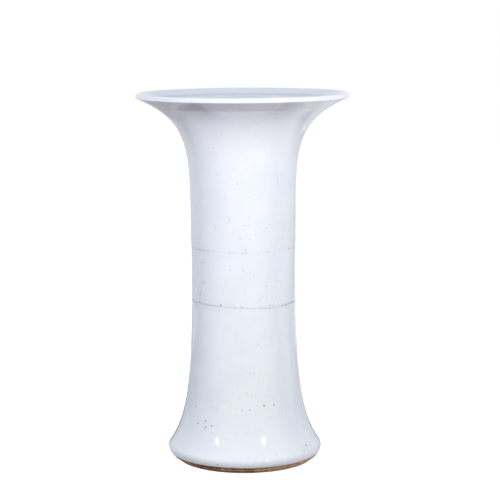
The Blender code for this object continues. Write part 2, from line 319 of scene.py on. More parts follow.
class VaseFinishes(bpy.types.PropertyGroup):
    """Colours and gloss of the glaze, the bare clay and the iron."""

    glaze: colour("Glaze", "White glaze where it lies evenly", "E9ECF2")
    glaze_cool: colour("Cool glaze", "White glaze where it lies thicker", "E4E9F1")
    # Whiter colour of the bead by the upper seam, a painted glint
    bead_glint_white: colour("Bead", "Bead of glaze that stands proud", "F8F9FC")
    # Colour of the ring of painted shade inside the mouth
    mouth_ring_shade: colour("Pooled glaze", "White glaze where it ran together inside the mouth", "D6DBE5")
    # Colour of the painted shade under the lip
    under_lip_shade: colour("Thin glaze", "Glaze under the lip, where it ran off and the clay shows", "D4D3DB")
    fleck_tan: colour("Tan flecks", "Faint stains of iron under the glaze", "C3B09A")
    fleck_grey: colour("Grey flecks", "Faint pinholes and ash in the glaze", "A2A6B2")
    glaze_roughness: share("Glaze roughness", "Roughness of the fired glaze", 0.06)
    stain_grey: colour("Grey stain", "Dirt line in an open seam", "8A8892")
    stain_tan: colour("Tan stain", "Iron bleeding from an open seam", "BFA49A")
    # Also the colour that the bare clay goes to in patches towards its left side
    clay_dark: colour("Dark clay", "Bare clay where it was burnt darkest", "5F402D")
    clay_mid: colour("Clay", "Bare clay", "B68A6A")
    clay_pale: colour("Pale clay", "Bare clay where it is worn", "E6C4A6")
    clay_roughness: share("Clay roughness", "Roughness of the bare clay", 0.85)
    iron: colour("Iron", "Iron that burnt through the glaze", "4A4446")
    ash: colour("Ash", "Ash drawn into pinholes of the glaze", "A0A3AD")
    ash_faint: colour("Faint ash", "Ash under more of the glaze", "D2D5DD")
    iron_roughness: share("Iron roughness", "Roughness of the iron specks", 0.3)
    ash_roughness: share("Ash roughness", "Roughness of the pinholes", 0.25)
    faint_roughness: share("Faint ash roughness", "Roughness of the fainter pinholes", 0.15)


class VaseStage(bpy.types.PropertyGroup):
    """Light and ground round the vase."""

    left_power: share("Left lamp", "Power of the lamp at the front left, in watts", 24.8)
    left_colour: colour("Left lamp colour", "Colour of the lamp at the front left", "FDFDFA")
    right_power: share("Right lamp", "Power of the lamp at the front right, in watts", 11.6)
    right_colour: colour("Right lamp colour", "Colour of the lamp at the front right", "FFFEEF")
    fill_colour: colour("Fill colour", "Colour of the light from the room", "E1EBFF")
    floor_glow: share("Floor white", "Part of the floor's white that takes no shadow", 0.93)
    floor_shade: colour("Floor shade", "Part of the floor's white that takes shadow", "A0A0A0")
    ceiling: colour("Ceiling", "Dim ceiling that shows in the gloss", "A9A9A9")


def add(tree, kind, inputs=None, **settings):
    """Add a node with its settings, and link or set its inputs."""
    node = tree.nodes.new(kind)
    for name, value in settings.items():
        setattr(node, name, value)
    for key, value in (inputs or {}).items():
        if isinstance(value, bpy.types.NodeSocket):
            tree.links.new(value, node.inputs[key])
        else:
            node.inputs[key].default_value = value
    return node


def calc(tree, operation, *values):
    """Output of a math node."""
    return add(tree, "ShaderNodeMath", dict(enumerate(values)), operation=operation).outputs[0]


def vector_calc(tree, operation, *values):
    """Output of a vector math node, which is a number for a length, a distance or a dot product."""
    node = add(tree, "ShaderNodeVectorMath", dict(enumerate(values)), operation=operation)
    return node.outputs["Value" if operation in ("LENGTH", "DISTANCE", "DOT_PRODUCT") else "Vector"]


def scaled(tree, vector, amount):
    """A vector times a number."""
    return add(tree, "ShaderNodeVectorMath", {0: vector, "Scale": amount}, operation="SCALE").outputs[0]


def spread(tree, value, start, end, low=0.0, high=1.0, kind="SMOOTHSTEP"):
    """Output that goes from low to high as a value goes from start to end."""
    inputs = {0: value, 1: start, 2: end, 3: low, 4: high}
    return add(tree, "ShaderNodeMapRange", inputs, interpolation_type=kind).outputs[0]


def blend(tree, amount, first, second):
    """Mix of two colours, each a socket or red, green and blue."""
    tints = [t if isinstance(t, bpy.types.NodeSocket) else (*t, 1) for t in (first, second)]
    return add(tree, "ShaderNodeMix", {0: amount, 6: tints[0], 7: tints[1]}, data_type="RGBA").outputs[2]


def grain(tree, place, size, detail=2.0, distortion=0.0):
    """Output of a noise whose patches have about this size."""
    inputs = {"Vector": place, "Scale": 1 / size, "Detail": detail, "Distortion": distortion}
    return add(tree, "ShaderNodeTexNoise", inputs).outputs[0]


def drawn_out(tree, place, wide, tall):
    """Place for a noise of size 1 whose patches come out this wide and this tall."""
    scale = (1 / wide, 1 / wide, 1 / tall)
    return add(tree, "ShaderNodeMapping", {"Vector": place, "Scale": scale}).outputs[0]


def split(tree, place):
    """The three parts of a place."""
    return add(tree, "ShaderNodeSeparateXYZ", {0: place}).outputs


def from_axis(tree, place):
    """Level vector from the axis to a place."""
    return vector_calc(tree, "MULTIPLY", place, (1, 1, 0))


def around(bearing, radius, height):
    """Point at a bearing, a radius and a height."""
    side = math.radians(bearing)
    return Vector((radius * math.sin(side), -radius * math.cos(side), height))


def along(point, heading, distance):
    """The point reached by going a distance along a unit heading."""
    return (point[0] + heading[0] * distance, point[1] + heading[1] * distance)


def arc(centre, radius, start, end, steps):
    """Points on an arc, both ends included."""
    angles = [start + (end - start) * step / steps for step in range(steps + 1)]
    return [(centre[0] + radius * math.cos(a), centre[1] + radius * math.sin(a)) for a in angles]


def flare(start, start_pull, end_pull, end, walls):
    """Outer and inner faces of a wall whose outer face is one cubic curve drawn upwards."""
    outer = []
    inner = []
    for step in range(FLARE_STEPS + 1):
        t = step / FLARE_STEPS
        u = 1 - t
        place = [0, 0]
        heading = [0, 0]
        for axis in range(2):
            a, b, c, d = start[axis], start_pull[axis], end_pull[axis], end[axis]
            place[axis] = u**3 * a + 3 * u * u * t * b + 3 * u * t * t * c + t**3 * d
            heading[axis] = u * u * (b - a) + 2 * u * t * (c - b) + t * t * (d - c)
        size = math.hypot(*heading)
        inwards = (-heading[1] / size, heading[0] / size)
        outer.append(tuple(place))
        inner.append(along(place, inwards, walls[0] + (walls[1] - walls[0]) * t))
    return outer, inner


def swell(height, seam, amount, sizes):
    """How far the wall stands proud over a seam, where it was pressed down on the one below."""
    rise = max(0, height - seam) / sizes.swell_reach
    return amount * rise * math.exp(1 - rise)


def seam_radii(sizes):
    """Radii of the well, of the tongue in a seam and of the bottom of the notch."""
    well = sizes.waist_radius - sizes.wall
    return well, well + (sizes.wall - SLIP_BED) / 2, sizes.waist_radius - sizes.seam_bevel


def seam_head(seam, sizes):
    """Top of the section under a seam, from the well out: tongue, shoulder and bevel."""
    well, tongue, notch = seam_radii(sizes)
    return [
        (well, seam + sizes.lap_height),
        (tongue, seam + sizes.lap_height),
        (tongue, seam - SLIP_BED / 2),
        (notch, seam - SLIP_BED / 2),
        (sizes.waist_radius, seam - SLIP_BED / 2 - sizes.seam_bevel),
    ]


def seam_foot(seam, amount, sizes):
    """Underside of the section over a seam, from the outside in: bevel, skirt and rebate."""
    well, tongue, notch = seam_radii(sizes)
    reach = seam + SLIP_BED / 2 + sizes.seam_bevel
    return [
        (sizes.waist_radius + swell(reach, seam, amount, sizes), reach),
        (notch, seam + SLIP_BED / 2),
        (tongue + SLIP_BED, seam + SLIP_BED / 2),
        (tongue + SLIP_BED, seam + sizes.lap_height + SLIP_BED),
        (well, seam + sizes.lap_height + SLIP_BED),
    ]


def trumpet_profile(sizes):
    """Neck and flare up to a lip with an upright face, round above and crisp below."""
    lean = sizes.mouth_lean
    facing = sizes.lip_face
    out = (math.sin(lean), math.cos(lean))
    inwards = (-math.cos(lean), math.sin(lean))
    face_out = (math.cos(facing), math.sin(facing))
    face_up = (-math.sin(facing), math.cos(facing))

    # Both edges of the lip are arcs: low is the centre of the lower one, and high that of the upper one,
    # placed so that the face is tangent to both and the wall has its thickness at the mouth
    flat = sizes.lip_thickness - sizes.lip_radius - sizes.lip_edge
    set_back = sizes.lip_radius - sizes.lip_edge
    reach = (flat + set_back * Vector(face_out).dot(inwards)) / Vector(face_up).dot(inwards)
    rise = reach * face_up[1] - set_back * face_out[1]
    low = (sizes.rim_radius - sizes.lip_edge, sizes.top - sizes.lip_radius - rise)
    high = along(along(low, face_up, reach), face_out, -set_back)
    mouth = along(low, inwards, -sizes.lip_edge)

    start = (sizes.waist_radius, sizes.upper_seam + SLIP_BED / 2 + sizes.seam_bevel)
    draft = (math.sin(sizes.neck_draft), math.cos(sizes.neck_draft))
    start_pull = along(start, draft, sizes.neck_pull)
    mouth_pull = along(mouth, out, -sizes.mouth_pull)
    outer, inner = flare(start, start_pull, mouth_pull, mouth, (sizes.wall, sizes.lip_thickness))

    seam = sizes.upper_seam
    skin = [(r + swell(z, seam, sizes.upper_swell, sizes), z) for r, z in outer[:0:-1]]
    rebate = seam + sizes.lap_height + SLIP_BED
    well = [point for point in inner[:-1] if point[1] > rebate + sizes.seam_bevel]
    lip = arc(high, sizes.lip_radius, math.pi - lean, facing, LIP_STEPS)
    lip += arc(low, sizes.lip_edge, facing, -lean, LIP_STEPS)[:-1]
    return skin + seam_foot(seam, sizes.upper_swell, sizes) + well + lip


def waist_profile(sizes):
    """A straight ring with a tongue on top and a rebate under it."""
    seam = sizes.lower_seam
    well = sizes.waist_radius - sizes.wall
    head = seam_head(sizes.upper_seam, sizes)
    foot = seam_foot(seam, sizes.lower_swell, sizes)
    skin = []
    inside = []
    for step in range(1, WAIST_STEPS):
        height = head[-1][1] + (foot[0][1] - head[-1][1]) * step / WAIST_STEPS
        skin.append((sizes.waist_radius + swell(height, seam, sizes.lower_swell, sizes), height))
        height = foot[-1][1] + (head[0][1] - foot[-1][1]) * step / WAIST_STEPS
        inside.append((well, height))
    return head + skin + foot + inside


def bell_skin(sizes):
    """Outer and inner faces of the bell's flare, drawn upwards from the shoulder to the seam."""
    lean = sizes.shoulder_lean
    centre = (sizes.shoulder_reach - sizes.shoulder_radius, BASE + sizes.shoulder_radius)
    start = along(centre, (math.cos(lean), math.sin(lean)), sizes.shoulder_radius)
    start_pull = along(start, (-math.sin(lean), math.cos(lean)), sizes.shoulder_pull)
    end = (sizes.waist_radius, sizes.lower_seam - SLIP_BED / 2 - sizes.seam_bevel)
    draft = (math.sin(sizes.bell_draft), -math.cos(sizes.bell_draft))
    end_pull = along(end, draft, sizes.bell_pull)
    return flare(start, start_pull, end_pull, end, (sizes.wall, sizes.wall))


def bell_profile(sizes):
    """Flared foot with a rounded shoulder, and a rebate under it for the floor."""
    outer, inner = bell_skin(sizes)
    centre = (sizes.shoulder_reach - sizes.shoulder_radius, BASE + sizes.shoulder_radius)
    shoulder = arc(centre, sizes.shoulder_radius, sizes.shoulder_lean, 0, SHOULDER_STEPS)
    for radius, height in arc((0, 0), 1, 0, -math.pi / 2, SHOULDER_STEPS)[1:]:
        inset = sizes.shoulder_tuck * (1 - radius)
        shoulder.append((sizes.shoulder_reach - inset, centre[1] + sizes.shoulder_radius * height))
    rebate = FLOOR_RADIUS + CLEARANCE
    bore = COIL_RADIUS + CLEARANCE
    ledge = FLOOR_TOP + SLIP_BED
    underside = [(rebate, BASE), (rebate, ledge), (bore, ledge)]
    clear_of_coil = ledge + COIL_SIZE
    well = [point for point in inner if point[0] < bore and point[1] > clear_of_coil]
    underside.append((bore, well[0][1] - CLEARANCE))
    head = seam_head(sizes.lower_seam, sizes)
    return head[:-1] + outer[::-1] + shoulder[1:] + underside + well[:-1]


def floor_profile():
    """Floor disc, from the axis out and back, with a shallow hollow underneath."""
    bevel = 1.5 * MM
    hollow_depth = 1.2 * MM
    hollow_inset = 19 * MM
    hollow = FOOT_RING_RADIUS - hollow_inset
    points = [(FLOOR_RADIUS * step / ARC_STEPS, FLOOR_TOP) for step in range(ARC_STEPS)]
    points += [(FLOOR_RADIUS - bevel, FLOOR_TOP), (FLOOR_RADIUS, FLOOR_TOP - bevel), (FLOOR_RADIUS, BASE)]
    for step in range(ARC_STEPS + 1):
        place = 1 - step / ARC_STEPS
        points.append((hollow * place, BASE + hollow_depth * (1 - place * place)))
    return points


def coil_profile():
    """Soft clay pressed into the corner of the floor and the wall, with a hollow face."""
    edge = 1.2 * MM
    centre = (COIL_RADIUS - COIL_SIZE, COIL_BOTTOM + COIL_SIZE)
    face = arc(centre, COIL_SIZE - edge, 0, -math.pi / 2, ARC_STEPS)
    corner = [(COIL_RADIUS - COIL_SIZE, COIL_BOTTOM), (COIL_RADIUS, COIL_BOTTOM)]
    return face[::-1] + [(COIL_RADIUS, COIL_BOTTOM + COIL_SIZE), corner[1], corner[0]]


def foot_ring_profile(sizes):
    """Turned foot ring whose outer face leans in to the table, with its edges worn round."""
    wear = 1.0 * MM
    steps = 6
    ring_width = 15 * MM
    inner = FOOT_RING_RADIUS - ring_width
    foot = sizes.foot_radius - sizes.foot_lean
    top = (sizes.foot_radius - wear, FOOT_RING_TOP - wear)
    face = []
    for step in range(1, steps):
        down = step / steps
        height = top[1] + (wear - top[1]) * down
        face.append((sizes.foot_radius - sizes.foot_lean * down, height))
    points = arc(top, wear, math.pi / 2, 0, ARC_STEPS) + face
    points += arc((foot - wear, wear), wear, 0, -math.pi / 2, ARC_STEPS)
    points += arc((inner + wear, wear), wear, -math.pi / 2, -math.pi, ARC_STEPS)
    return points + [(inner, FOOT_RING_TOP)]


def wall_radius(profile, height):
    """Radius of the outer wall at a height, for a profile that starts down its outer side."""
    for (upper_radius, upper), (lower_radius, lower) in zip(profile, profile[1:]):
        if lower <= height <= upper:
            return lower_radius + (upper_radius - lower_radius) * (height - lower) / (upper - lower)
    raise ValueError(f"{height} is off the wall")


def geometry_tree(name, sockets):
    """A geometry tree with named inputs, the sockets that carry them and its output node."""
    tree = bpy.data.node_groups.new(name, "GeometryNodeTree")
    tree.interface.new_socket("Geometry", in_out="INPUT", socket_type="NodeSocketGeometry")
    for label, kind in sockets.items():
        tree.interface.new_socket(label, in_out="INPUT", socket_type=kind)
    tree.interface.new_socket("Geometry", in_out="OUTPUT", socket_type="NodeSocketGeometry")
    return tree, add(tree, "NodeGroupInput").outputs, add(tree, "NodeGroupOutput")


WOBBLE_SOCKETS = {
    label: "NodeSocketFloat"
    for label in ("Ring Height", "Ring Spacing", "Out of Round", "Foot Shift", "Foot Shift Top", "Seed")
}


def wheel_wobble():
    """Group for what throwing and firing leave: faint rings, a wall not quite round, a foot off centre."""
    ring_drift = 110 * MM
    pull_size = 160 * MM
    tree, given, result = geometry_tree("wheel_wobble", WOBBLE_SOCKETS)
    place = add(tree, "GeometryNodeInputPosition").outputs[0]
    parts = split(tree, place)
    across = [calc(tree, "DIVIDE", parts[axis], ring_drift) for axis in range(2)]
    level = calc(tree, "DIVIDE", parts[2], given["Ring Spacing"])
    ring_place = add(tree, "ShaderNodeCombineXYZ", {0: across[0], 1: across[1], 2: level}).outputs[0]
    push = 0.0
    for spot, size, detail, height in (
        (ring_place, 1.0, 1.0, "Ring Height"),
        (place, pull_size, 0.0, "Out of Round"),
    ):
        inputs = {"Vector": spot, "W": given["Seed"], "Scale": 1 / size, "Detail": detail}
        pattern = add(tree, "ShaderNodeTexNoise", inputs, noise_dimensions="4D").outputs[0]
        push = calc(tree, "MULTIPLY_ADD", calc(tree, "SUBTRACT", pattern, 0.5), given[height], push)
    outwards = vector_calc(tree, "NORMALIZE", from_axis(tree, place))
    shift = spread(tree, parts[2], given["Foot Shift Top"], 0.0, 0.0, given["Foot Shift"])
    sideways = add(tree, "ShaderNodeCombineXYZ", {0: shift}).outputs[0]
    offset = vector_calc(tree, "ADD", scaled(tree, outwards, push), sideways)
    moved = add(tree, "GeometryNodeSetPosition", {"Geometry": given["Geometry"], "Offset": offset})
    tree.links.new(moved.outputs[0], result.inputs[0])
    return tree


def wobbled(tree, geometry, given):
    """Geometry after the wobble, with the inputs of the tree that it is in."""
    group = bpy.data.node_groups.get("wheel_wobble") or wheel_wobble()
    inputs = {"Geometry": geometry, **{label: given[label] for label in WOBBLE_SOCKETS}}
    return add(tree, "GeometryNodeGroup", inputs, node_tree=group).outputs[0]


def close_tree(tree, geometry, given, result):
    """End a tree in plain geometry with its material."""
    plain = add(tree, "GeometryNodeRealizeInstances", {"Geometry": geometry}).outputs[0]
    painted = add(tree, "GeometryNodeSetMaterial", {"Geometry": plain, "Material": given["Material"]})
    tree.links.new(painted.outputs[0], result.inputs[0])


def smoothed(tree, geometry):
    """Geometry with smooth faces and with its hard edges kept."""
    smooth = add(tree, "GeometryNodeSetShadeSmooth", {"Geometry": geometry, "Shade Smooth": True})
    bend = add(tree, "GeometryNodeInputMeshEdgeAngle").outputs[0]
    hard = calc(tree, "GREATER_THAN", bend, SHARP_ANGLE)
    inputs = {"Geometry": smooth.outputs[0], "Selection": hard, "Shade Smooth": False}
    return add(tree, "GeometryNodeSetShadeSmooth", inputs, domain="EDGE").outputs[0]


def wheel_tree():
    """Tree that turns a profile on the wheel."""
    pole_gap = 0.01 * MM
    sockets = {"Segments": "NodeSocketInt", "Material": "NodeSocketMaterial", **WOBBLE_SOCKETS}
    tree, given, result = geometry_tree("wheel_turned", sockets)
    outline = add(tree, "GeometryNodeMeshToCurve", {"Mesh": given["Geometry"]}).outputs[0]
    inputs = {"Resolution": given["Segments"], "Radius": WHEEL_RADIUS}
    circle = add(tree, "GeometryNodeCurvePrimitiveCircle", inputs).outputs[0]
    turned = add(tree, "GeometryNodeCurveToMesh", {"Curve": circle, "Profile Curve": outline}).outputs[0]
    poles = add(tree, "GeometryNodeMergeByDistance", {"Geometry": turned, "Distance": pole_gap})
    close_tree(tree, smoothed(tree, wobbled(tree, poles.outputs[0], given)), given, result)
    return tree


def slip_tree():
    """Tree that lets the slip of a seam follow the wobble of the walls that it joins."""
    sockets = {"Material": "NodeSocketMaterial", **WOBBLE_SOCKETS}
    tree, given, result = geometry_tree("pressed_slip", sockets)
    close_tree(tree, smoothed(tree, wobbled(tree, given["Geometry"], given)), given, result)
    return tree


def speck_tree():
    """Tree that seats a flat drop on a surface at each point, with the point's width and stretch."""
    start_height = 60 * MM
    sockets = {"Surface": "NodeSocketObject", "Flatness": "NodeSocketFloat"}
    sockets["Material"] = "NodeSocketMaterial"
    tree, given, result = geometry_tree("seated_specks", sockets)
    surface = add(tree, "GeometryNodeObjectInfo", {"Object": given["Surface"]}, transform_space="RELATIVE")
    place = add(tree, "GeometryNodeInputPosition").outputs[0]
    outwards = vector_calc(tree, "NORMALIZE", from_axis(tree, place))
    lift = scaled(tree, outwards, start_height)
    inputs = {
        "Target Geometry": surface.outputs["Geometry"],
        "Source Position": vector_calc(tree, "ADD", place, lift),
        "Ray Direction": scaled(tree, outwards, -1.0),
        "Ray Length": 3 * start_height,
    }
    seat = add(tree, "GeometryNodeRaycast", inputs).outputs
    inputs = {"Geometry": given["Geometry"], "Position": seat["Hit Position"]}
    seated = add(tree, "GeometryNodeSetPosition", inputs).outputs[0]
    width, drawn = (
        add(tree, "GeometryNodeInputNamedAttribute", {"Name": name}, data_type="FLOAT").outputs[0]
        for name in ("width", "drawn")
    )
    tall = calc(tree, "MULTIPLY", width, drawn)
    thick = calc(tree, "MULTIPLY", width, given["Flatness"])
    scale = add(tree, "ShaderNodeCombineXYZ", {0: width, 1: tall, 2: thick}).outputs[0]
    turn_to = "FunctionNodeAlignRotationToVector"
    facing = add(tree, turn_to, {"Vector": seat["Hit Normal"]}, axis="Z").outputs[0]
    upright = add(tree, turn_to, {"Rotation": facing, "Vector": (0, 0, 1)}, axis="Y", pivot_axis="Z")
    drop = add(tree, "GeometryNodeMeshUVSphere", {"Segments": 10, "Rings": 5, "Radius": 0.5}).outputs[0]
    inputs = {"Points": seated, "Instance": drop, "Rotation": upright.outputs[0], "Scale": scale}
    drops = add(tree, "GeometryNodeInstanceOnPoints", inputs).outputs[0]
    plain = add(tree, "GeometryNodeRealizeInstances", {"Geometry": drops}).outputs[0]
    smooth = add(tree, "GeometryNodeSetShadeSmooth", {"Geometry": plain, "Shade Smooth": True})
    close_tree(tree, smooth.outputs[0], given, result)
    return tree


def new_piece(name, data):
    """An object for a mesh, a lamp or a camera, at the origin."""
    piece = bpy.data.objects.new(name, data)
    bpy.context.scene.collection.objects.link(piece)
    return piece


def make_plain(piece, tree, values):
    """Run a piece through a geometry tree and keep the result as its plain mesh."""
    modifier = piece.modifiers.new(tree.name, "NODES")
    modifier.node_group = tree
    sockets = {item.name: item.identifier for item in tree.interface.items_tree if item.in_out == "INPUT"}
    for label, value in values.items():
        modifier[sockets[label]] = value
    graph = bpy.context.evaluated_depsgraph_get()
    made = bpy.data.meshes.new_from_object(
        piece.evaluated_get(graph), preserve_all_data_layers=True, depsgraph=graph
    )
    piece.modifiers.remove(modifier)
    piece.data = made
    made.name = piece.name
    if not made.polygons:
        raise RuntimeError(f"{piece.name} came out empty")
    made.materials.clear()
    made.materials.append(values["Material"])
    made.polygons.foreach_set("material_index", [0] * len(made.polygons))
    return piece


def wobble_values(sizes):
    """Values for the wobble that every turned piece shares."""
    return {
        "Ring Height": sizes.ring_height,
        "Ring Spacing": sizes.ring_spacing,
        "Out of Round": sizes.out_of_round,
        "Foot Shift": sizes.foot_shift,
        "Foot Shift Top": sizes.foot_shift_top,
        "Seed": 4.0,
    }


def turn(name, profile, material, sizes):
    """Turn a profile into a piece. A profile that starts on the axis is left open there."""
    count = len(profile)
    on_axis = profile[0][0] == 0
    edges = [(i, (i + 1) % count) for i in range(count - 1 if on_axis else count)]
    mesh = bpy.data.meshes.new(name)
    mesh.from_pydata([(radius - WHEEL_RADIUS, -height, 0) for radius, height in profile], edges, [])
    values = {"Segments": TURN_SEGMENTS, "Material": material, **wobble_values(sizes)}
    tree = bpy.data.node_groups.get("wheel_turned") or wheel_tree()
    return make_plain(new_piece(name, mesh), tree, values)


def hand_over(piece, slot, *nodes):
    """Put a piece on the vase's one body, in place of the nodes that it stands for."""
    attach(piece, "root")
    if nodes:
        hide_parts(*nodes)


def smooth_step(value):
    """Ease from 0 to 1."""
    value = min(1, max(0, value))
    return value * value * (3 - 2 * value)


def openness(bearing, stretches):
    """How open a seam is at a bearing, from 0 where the slip fills it to 1."""
    ease = 5
    most = 0
    for start, end, depth in stretches:
        inside = min(bearing - start, end - bearing)
        most = max(most, depth * smooth_step(0.5 + inside / ease))
    return most


def between(bearing, stops):
    """Value at a bearing, eased from one (bearing, value) stop to the next."""
    for (start, before), (end, after) in zip(stops, stops[1:]):
        if bearing <= end:
            return before + (after - before) * smooth_step((bearing - start) / (end - start))
    return stops[-1][1]


def nearness(bearing, height, spot, sizes):
    """How near a place on a seam is to a spot, from 0 far off to 1 at its middle."""
    spot_bearing, spot_height, spot_radius = spot
    aside = math.radians(bearing - spot_bearing) * sizes.waist_radius / MM
    gap = math.hypot(aside, height / MM - spot_height) / spot_radius
    return math.exp(-gap * gap)


def lumps(place, size, finer, amount):
    """Noise with lumps of a size, and an amount of finer ones on it."""
    return noise.noise(place / size) + amount * noise.noise(place / (finer * size))


def store(mesh, name, values):
    """Keep a number for each point of a mesh."""
    mesh.attributes.new(name, "FLOAT", "POINT").data.foreach_set("value", values)


def seam_back(seam, sizes):
    """Slip behind the bead of a seam, as a profile from under its bed, round sleeve and cap, to over it."""
    well, tongue, notch = seam_radii(sizes)
    thickness = SLIP_BED - 2 * CLEARANCE
    sleeve = tongue + CLEARANCE
    cap = seam + sizes.lap_height + CLEARANCE
    return [
        (notch, seam - thickness / 2),
        (sleeve, seam - thickness / 2),
        (sleeve, cap),
        (well, cap),
        (well, cap + thickness),
        (sleeve + thickness, cap + thickness),
        (sleeve + thickness, seam + thickness / 2),
        (notch, seam + thickness / 2),
    ]


def ring_faces(segments, count):
    """Faces of a closed ring made of segments with the same count of points each."""
    faces = []
    for segment in range(segments):
        here = segment * count
        there = (segment + 1) % segments * count
        for step in range(count):
            after = (step + 1) % count
            faces.append((here + step, here + after, there + after, there + step))
    return faces


def luted_seam(name, seam, amount, marks, material, sizes):
    """Slip in a half-lap joint: a bed, a sleeve, a cap and an uneven bead at the outside.

    The bead is open and stained in places, and the slip bridges some of those again.
    """
    bevels = 2.8
    half_height = SLIP_BED / 2 + bevels * sizes.seam_bevel
    sunk = 0.20 * MM
    groove_depth = 0.28 * MM
    groove_width = 0.55 * MM
    narrowest = 0.75
    widening = 0.6
    stain_reach = 1.5
    pit_depth = 0.45 * MM
    pit_stain = 1.6
    lump = 0.07 * MM
    lump_size = 5 * MM
    break_size = 7 * MM
    break_sway = 0.9
    notch_reach = SLIP_BED / 2 + sizes.seam_bevel
    back = seam_back(seam, sizes)
    points = []
    stains = []
    rusts = []
    for segment in range(SEAM_SEGMENTS):
        bearing = 360 * segment / SEAM_SEGMENTS - 180
        broken = lumps(around(bearing, sizes.waist_radius, seam), break_size, finer=0.35, amount=0.6)
        opened = openness(bearing, marks["open"]) * smooth_step(marks["kept_open"] + break_sway * broken)
        width = groove_width * (narrowest + widening * opened)
        line = seam + between(bearing, marks["drift"]) * MM + groove_width * broken
        for step in range(SEAM_STEPS + 1):
            level = 1 - 2 * step / SEAM_STEPS
            height = seam + half_height * level
            off_line = (height - line) / width
            place = around(bearing, sizes.waist_radius, height)
            proud = marks["crown"] + lump * lumps(place, lump_size, finer=0.4, amount=0.5)
            radius = sizes.waist_radius + swell(height, seam, amount, sizes) - sunk * level**6
            radius += proud * (1 - level * level) - groove_depth * opened * math.exp(-off_line**2)
            stain = opened * math.exp(-(off_line / stain_reach) ** 2)
            for pit in marks["pits"]:
                dip = nearness(bearing, height - seam, pit, sizes)
                radius -= min(pit_depth * dip, max(0, notch_reach - abs(height - seam)))
                stain = max(stain, pit_stain * dip)
            points.append(around(bearing, radius, height))
            stains.append(stain)
            rusts.append(max(nearness(bearing, height - seam, spot, sizes) for spot in marks["rust"]))
        points += [around(bearing, radius, height) for radius, height in back]
        stains += [0] * len(back)
        rusts += [0] * len(back)
    mesh = bpy.data.meshes.new(name)
    mesh.from_pydata(points, [], ring_faces(SEAM_SEGMENTS, len(points) // SEAM_SEGMENTS))
    store(mesh, "stain", stains)
    store(mesh, "rust", rusts)
    values = {"Material": material, **wobble_values(sizes)}
    tree = bpy.data.node_groups.get("pressed_slip") or slip_tree()
    return make_plain(new_piece(name, mesh), tree, values)


def seated_specks(name, surface, seats, flatness, material):
    """Flat drops on a finished surface. A seat is (bearing, height, width, how drawn out)."""
    mesh = bpy.data.meshes.new(name)
    bearings, heights, widths, stretches = zip(*seats)
    points = [around(bearing, WAIST_RADIUS, height) for bearing, height in zip(bearings, heights)]
    mesh.from_pydata(points, [], [])
    store(mesh, "width", widths)
    store(mesh, "drawn", stretches)
    values = {"Surface": surface, "Flatness": flatness, "Material": material}
    tree = bpy.data.node_groups.get("seated_specks") or speck_tree()
    return make_plain(new_piece(name, mesh), tree, values)


def new_material(name):
    """A material, its node tree, its surface shader and the Object coordinates."""
    material = bpy.data.materials.new(name)
    material.use_nodes = True
    tree = material.node_tree
    shader = tree.nodes["Principled BSDF"]
    return material, tree, shader, add(tree, "ShaderNodeTexCoord").outputs["Object"]


def bumps(tree, place, shader, size, height, detail, strength):
    """Give a surface bumps of a size and a height."""
    inputs = {"Height": grain(tree, place, size, detail), "Strength": strength, "Distance": height}
    tree.links.new(add(tree, "ShaderNodeBump", inputs).outputs[0], shader.inputs["Normal"])


def glaze_colour(tree, place, finishes):
    """Colour of the white glaze: soft clouding, and faint grey flecks and squiggles in loose drifts."""
    cloud_size = 45 * MM
    drift_size = 38 * MM
    drift_least = 0.15
    squiggle_width = 3.4 * MM
    squiggle_length = 5.2 * MM
    squiggle_most = 0.30
    dot_spacing = 12 * MM
    dot_most = 0.26
    left_out = 0.80
    clouds = spread(tree, grain(tree, place, cloud_size, 3.0), 0.3, 0.7)
    white = blend(tree, clouds, finishes.glaze, finishes.glaze_cool)
    drift = spread(tree, grain(tree, place, drift_size, 1.0), 0.40, 0.60, drift_least)
    strokes = grain(tree, drawn_out(tree, place, squiggle_width, squiggle_length), 1.0, distortion=1.5)
    squiggles = calc(tree, "MULTIPLY", spread(tree, strokes, 0.62, 0.76, high=squiggle_most), drift)
    cells = add(tree, "ShaderNodeTexVoronoi", {"Vector": place, "Scale": 1 / dot_spacing}).outputs
    chance = add(tree, "ShaderNodeSeparateColor", {0: cells["Color"]}).outputs[0]
    few = calc(tree, "GREATER_THAN", chance, left_out)
    dots = calc(tree, "MULTIPLY", spread(tree, cells["Distance"], 0.19, 0.02, high=dot_most), few)
    return blend(tree, calc(tree, "MAXIMUM", dots, squiggles), white, finishes.fleck_grey)


def glaze_surface(tree, place, shader, finishes):
    """Gloss of the fired glaze: a faint orange peel and a little unevenness in the shine."""
    shine_size = 25 * MM
    bumps(tree, place, shader, size=3.2 * MM, height=0.012 * MM, detail=2.0, strength=1.0)
    least = 0.6 * finishes.glaze_roughness
    most = 1.4 * finishes.glaze_roughness
    rough = spread(tree, grain(tree, place, shine_size), 0.0, 1.0, least, most, "LINEAR")
    tree.links.new(rough, shader.inputs["Roughness"])
    shader.inputs["IOR"].default_value = 1.5


def white_porcelain_glaze(finishes):
    """Clear glaze fired on white porcelain: a deep even white, slick, with specks from the clay."""
    found = bpy.data.materials.get("white_porcelain_glaze")
    if found:
        return found
    material, tree, shader, place = new_material("white_porcelain_glaze")
    tree.links.new(glaze_colour(tree, place, finishes), shader.inputs["Base Color"])
    glaze_surface(tree, place, shader, finishes)
    return material


